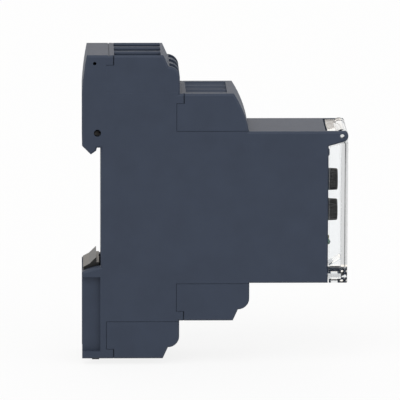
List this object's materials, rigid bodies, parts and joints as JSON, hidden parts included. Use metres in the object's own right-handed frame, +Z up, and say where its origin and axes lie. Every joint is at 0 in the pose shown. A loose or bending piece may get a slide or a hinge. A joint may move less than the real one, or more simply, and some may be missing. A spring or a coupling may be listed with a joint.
{
  "type": "phase monitoring relay",
  "caption": "Narrow grey-blue rail-mounted monitoring relay with stepped terminal tiers, a blank cap, two ribbed dials, a test button and a clear hinged front cover.",
  "frame": {"origin": "centre of the face that seats on the rail, at the rail's centre line and mid-width", "axes": "+X out of the front, +Z up along the height, +Y across the width toward the lid side"},
  "size_m": [0.0774, 0.0226, 0.0918],
  "materials": {
    "case_plastic": "fine sparked grey-blue plastic",
    "clear_plastic": "clear polished plastic",
    "dial_plastic": "black plastic",
    "clip_plastic": "black plastic",
    "component_plastic": "black moulded plastic",
    "light_pipe_green": "clear green plastic",
    "light_pipe_yellow": "clear yellow plastic",
    "lamp_body": "white moulded package",
    "board_laminate": "green lacquered laminate",
    "relay_plastic": "off-white sealed plastic case",
    "capacitor_can": "sleeved aluminium can",
    "film_capacitor_box": "yellow plastic box",
    "varistor_coat": "blue dipped coating",
    "resistor_coat": "pale blue lacquer",
    "contact_brass": "tinned brass strip",
    "plated_steel": "zinc-plated steel",
    "screw_steel": "zinc-plated steel",
    "spring_steel": "bright spring wire"
  },
  "bodies": {
    "module": {"bar_lower_front_1": "contact_brass", "bar_lower_front_2": "contact_brass", "bar_lower_front_3": "contact_brass", "bar_lower_rear_1": "contact_brass", "bar_lower_rear_2": "contact_brass", "bar_lower_rear_3": "contact_brass", "bar_upper_rear_1": "contact_brass", "bar_upper_rear_2": "contact_brass", "bar_upper_rear_3": "contact_brass", "blank_cap": "case_plastic", "board_connector": "component_plastic", "case_lid": "case_plastic", "case_shell": "case_plastic", "clip_spring": "spring_steel", "controller_chip": "component_plastic", "film_capacitor": "film_capacitor_box", "first_output_relay": "relay_plastic", "front_board": "board_laminate", "front_panel": "case_plastic", "lower_front_block": "case_plastic", "lower_potentiometer": "component_plastic", "lower_rear_block": "case_plastic", "measuring_resistors": "resistor_coat", "output_lamp": "lamp_body", "output_light_pipe": "light_pipe_yellow", "power_board": "board_laminate", "power_lamp": "lamp_body", "power_light_pipe": "light_pipe_green", "second_output_relay": "relay_plastic", "smoothing_capacitor": "capacitor_can", "test_switch": "component_plastic", "upper_potentiometer": "component_plastic", "upper_rear_block": "case_plastic", "varistor": "varistor_coat"},
    "cover": {"front_cover": "clear_plastic"},
    "upper_dial": {"upper_dial": "dial_plastic"},
    "lower_dial": {"lower_dial": "dial_plastic"},
    "button": {"test_button": "case_plastic"},
    "clip": {"rail_clip": "clip_plastic"},
    "screw_upper_rear_1": {"screw_upper_rear_1": "screw_steel"},
    "cage_upper_rear_1": {"cage_upper_rear_1": "plated_steel"},
    "screw_upper_rear_2": {"screw_upper_rear_2": "screw_steel"},
    "cage_upper_rear_2": {"cage_upper_rear_2": "plated_steel"},
    "screw_upper_rear_3": {"screw_upper_rear_3": "screw_steel"},
    "cage_upper_rear_3": {"cage_upper_rear_3": "plated_steel"},
    "screw_lower_rear_1": {"screw_lower_rear_1": "screw_steel"},
    "cage_lower_rear_1": {"cage_lower_rear_1": "plated_steel"},
    "screw_lower_rear_2": {"screw_lower_rear_2": "screw_steel"},
    "cage_lower_rear_2": {"cage_lower_rear_2": "plated_steel"},
    "screw_lower_rear_3": {"screw_lower_rear_3": "screw_steel"},
    "cage_lower_rear_3": {"cage_lower_rear_3": "plated_steel"},
    "screw_lower_front_1": {"screw_lower_front_1": "screw_steel"},
    "cage_lower_front_1": {"cage_lower_front_1": "plated_steel"},
    "screw_lower_front_2": {"screw_lower_front_2": "screw_steel"},
    "cage_lower_front_2": {"cage_lower_front_2": "plated_steel"},
    "screw_lower_front_3": {"screw_lower_front_3": "screw_steel"},
    "cage_lower_front_3": {"cage_lower_front_3": "plated_steel"}
  },
  "joints": [
    {"name": "cover_hinge", "type": "hinge", "parent": "module", "child": "cover", "pos_m": [0.0702, 0, 0.0211], "axis": [0, -1, 0], "range_deg": [0, 110]},
    {"name": "upper_dial_turn", "type": "hinge", "parent": "module", "child": "upper_dial", "pos_m": [0.0663, 0, 0.00636], "axis": [1, 0, 0], "range_deg": [-140, 140]},
    {"name": "lower_dial_turn", "type": "hinge", "parent": "module", "child": "lower_dial", "pos_m": [0.0663, 0, -0.00269], "axis": [1, 0, 0], "range_deg": [-140, 140]},
    {"name": "button_press", "type": "slide", "parent": "module", "child": "button", "axis": [-1, 0, 0], "range_m": [0, 0.0004], "stiffness_N_per_m": 400, "springref_m": -0.002},
    {"name": "clip_pull", "type": "slide", "parent": "module", "child": "clip", "axis": [0, 0, -1], "range_m": [0, 0.0035], "stiffness_N_per_m": 2000, "springref_m": -0.003, "deforming": ["clip_spring"]},
    {"name": "screw_upper_rear_1_turn", "type": "hinge", "parent": "module", "child": "screw_upper_rear_1", "pos_m": [0.015, -0.0075, 0.0383], "axis": [-1, 0, 0], "range_deg": [0, 2095]},
    {"name": "cage_upper_rear_1_slide", "type": "slide", "parent": "module", "child": "cage_upper_rear_1", "axis": [1, 0, 0], "range_m": [0, 0.0029]},
    {"name": "screw_upper_rear_2_turn", "type": "hinge", "parent": "module", "child": "screw_upper_rear_2", "pos_m": [0.015, 0, 0.0383], "axis": [-1, 0, 0], "range_deg": [0, 2095]},
    {"name": "cage_upper_rear_2_slide", "type": "slide", "parent": "module", "child": "cage_upper_rear_2", "axis": [1, 0, 0], "range_m": [0, 0.0029]},
    {"name": "screw_upper_rear_3_turn", "type": "hinge", "parent": "module", "child": "screw_upper_rear_3", "pos_m": [0.015, 0.0075, 0.0383], "axis": [-1, 0, 0], "range_deg": [0, 2095]},
    {"name": "cage_upper_rear_3_slide", "type": "slide", "parent": "module", "child": "cage_upper_rear_3", "axis": [1, 0, 0], "range_m": [0, 0.0029]},
    {"name": "screw_lower_rear_1_turn", "type": "hinge", "parent": "module", "child": "screw_lower_rear_1", "pos_m": [0.015, -0.0075, -0.0383], "axis": [-1, 0, 0], "range_deg": [0, 2095]},
    {"name": "cage_lower_rear_1_slide", "type": "slide", "parent": "module", "child": "cage_lower_rear_1", "axis": [1, 0, 0], "range_m": [0, 0.0029]},
    {"name": "screw_lower_rear_2_turn", "type": "hinge", "parent": "module", "child": "screw_lower_rear_2", "pos_m": [0.015, 0, -0.0383], "axis": [-1, 0, 0], "range_deg": [0, 2095]},
    {"name": "cage_lower_rear_2_slide", "type": "slide", "parent": "module", "child": "cage_lower_rear_2", "axis": [1, 0, 0], "range_m": [0, 0.0029]},
    {"name": "screw_lower_rear_3_turn", "type": "hinge", "parent": "module", "child": "screw_lower_rear_3", "pos_m": [0.015, 0.0075, -0.0383], "axis": [-1, 0, 0], "range_deg": [0, 2095]},
    {"name": "cage_lower_rear_3_slide", "type": "slide", "parent": "module", "child": "cage_lower_rear_3", "axis": [1, 0, 0], "range_m": [0, 0.0029]},
    {"name": "screw_lower_front_1_turn", "type": "hinge", "parent": "module", "child": "screw_lower_front_1", "pos_m": [0.03545, -0.0075, -0.027], "axis": [-1, 0, 0], "range_deg": [0, 2095]},
    {"name": "cage_lower_front_1_slide", "type": "slide", "parent": "module", "child": "cage_lower_front_1", "axis": [1, 0, 0], "range_m": [0, 0.0029]},
    {"name": "screw_lower_front_2_turn", "type": "hinge", "parent": "module", "child": "screw_lower_front_2", "pos_m": [0.03545, 0, -0.027], "axis": [-1, 0, 0], "range_deg": [0, 2095]},
    {"name": "cage_lower_front_2_slide", "type": "slide", "parent": "module", "child": "cage_lower_front_2", "axis": [1, 0, 0], "range_m": [0, 0.0029]},
    {"name": "screw_lower_front_3_turn", "type": "hinge", "parent": "module", "child": "screw_lower_front_3", "pos_m": [0.03545, 0.0075, -0.027], "axis": [-1, 0, 0], "range_deg": [0, 2095]},
    {"name": "cage_lower_front_3_slide", "type": "slide", "parent": "module", "child": "cage_lower_front_3", "axis": [1, 0, 0], "range_m": [0, 0.0029]}
  ],
  "couplings": [
    {"joint": "screw_upper_rear_1_turn", "follows": "cage_upper_rear_1_slide", "rad_per_m": 12566},
    {"joint": "screw_upper_rear_2_turn", "follows": "cage_upper_rear_2_slide", "rad_per_m": 12566},
    {"joint": "screw_upper_rear_3_turn", "follows": "cage_upper_rear_3_slide", "rad_per_m": 12566},
    {"joint": "screw_lower_rear_1_turn", "follows": "cage_lower_rear_1_slide", "rad_per_m": 12566},
    {"joint": "screw_lower_rear_2_turn", "follows": "cage_lower_rear_2_slide", "rad_per_m": 12566},
    {"joint": "screw_lower_rear_3_turn", "follows": "cage_lower_rear_3_slide", "rad_per_m": 12566},
    {"joint": "screw_lower_front_1_turn", "follows": "cage_lower_front_1_slide", "rad_per_m": 12566},
    {"joint": "screw_lower_front_2_turn", "follows": "cage_lower_front_2_slide", "rad_per_m": 12566},
    {"joint": "screw_lower_front_3_turn", "follows": "cage_lower_front_3_slide", "rad_per_m": 12566}
  ]
}
